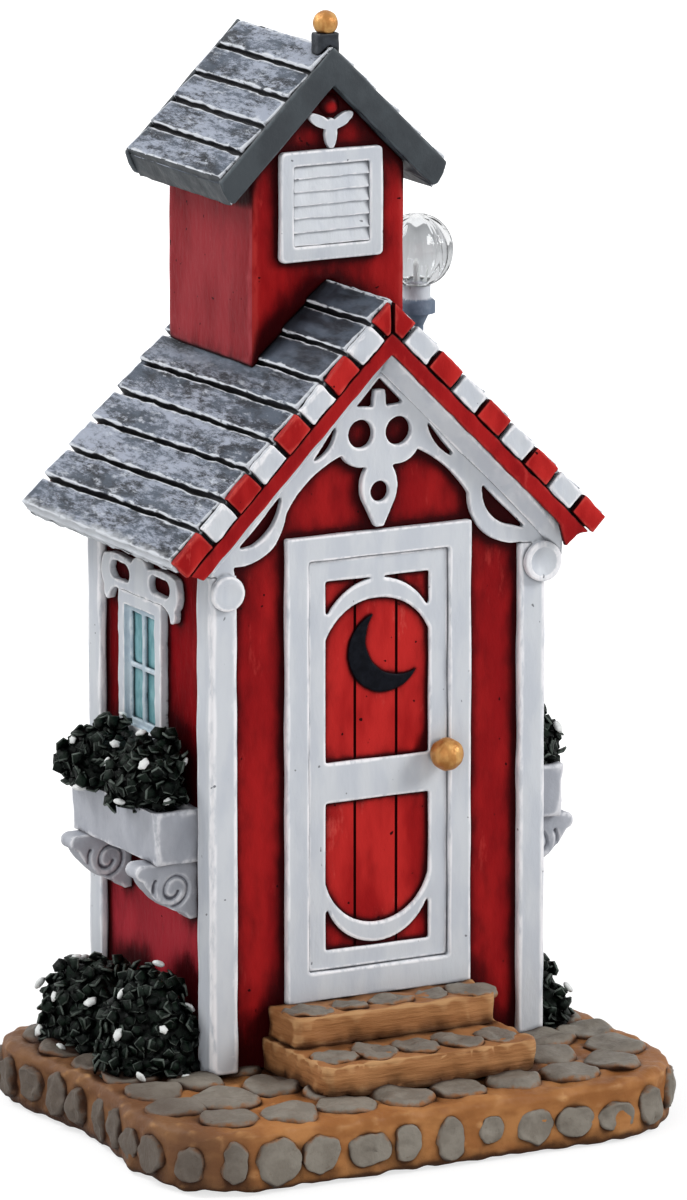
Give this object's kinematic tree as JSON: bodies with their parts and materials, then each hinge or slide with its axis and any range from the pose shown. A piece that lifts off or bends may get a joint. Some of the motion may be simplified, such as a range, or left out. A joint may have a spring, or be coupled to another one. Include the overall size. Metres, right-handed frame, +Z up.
{
  "type": "miniature village outhouse figurine",
  "caption": "Painted cast-resin miniature of a steep-roofed outhouse with a louvred tower, flower boxes and fretwork, on a cobbled base with two steps and a lamp.",
  "frame": {"origin": "middle of the base's underside, at the centre of the bounding box in plan", "axes": "+Z up, -Y out of the door, +X to the right of someone facing the door"},
  "size_m": [0.0654, 0.0628, 0.1232],
  "materials": {
    "cobbled_base": "painted cast resin, ochre mortar round grey stones",
    "step_stone": "painted cast resin, ochre with grey flagstones",
    "red_paint": "satin red paint on cast resin",
    "white_trim": "satin white paint on cast resin",
    "roof_grey": "dark grey dry-brushed with white",
    "fascia_grey": "dark grey-green paint",
    "gold_paint": "metallic gold-tan paint",
    "black_paint": "black paint",
    "pane_blue": "pale blue-green painted panes",
    "foliage_green": "very dark green painted leaves",
    "lamp_grey": "grey-blue paint",
    "clear_globe": "clear moulded globe",
    "lamp_core": "diffused lamp core"
  },
  "bodies": {
    "root": {"back_posts": "white_trim", "back_wall": "red_paint", "base_slab": "cobbled_base", "box_plants": "foliage_green", "crescent_moon": "black_paint", "door_boards": "red_paint", "door_casing": "white_trim", "door_frame": "white_trim", "door_knob": "gold_paint", "finial_ball": "gold_paint", "finial_block": "fascia_grey", "front_posts": "white_trim", "front_wall": "red_paint", "gable_boss": "red_paint", "gable_fretwork": "white_trim", "ground_bushes": "foliage_green", "lamp_globe": "clear_globe", "lamp_led": "lamp_core", "lamp_post": "lamp_grey", "lamp_socket": "white_trim", "left_box_consoles": "white_trim", "left_flower_box": "white_trim", "left_wall": "red_paint", "left_window_frame": "white_trim", "lower_step": "step_stone", "rake_beads": "red_paint", "red_rake_blocks": "red_paint", "right_box_consoles": "white_trim", "right_flower_box": "white_trim", "right_wall": "red_paint", "right_window_frame": "white_trim", "roof_left": "roof_grey", "roof_right": "roof_grey", "soffits": "white_trim", "tower": "red_paint", "tower_fascias": "fascia_grey", "tower_roof_left": "roof_grey", "tower_roof_right": "roof_grey", "trefoil": "white_trim", "upper_step": "step_stone", "vent_frame": "white_trim", "vent_louvres": "white_trim", "white_rake_blocks": "white_trim", "window_crests": "white_trim", "window_panes": "pane_blue"}
  },
  "joints": []
}
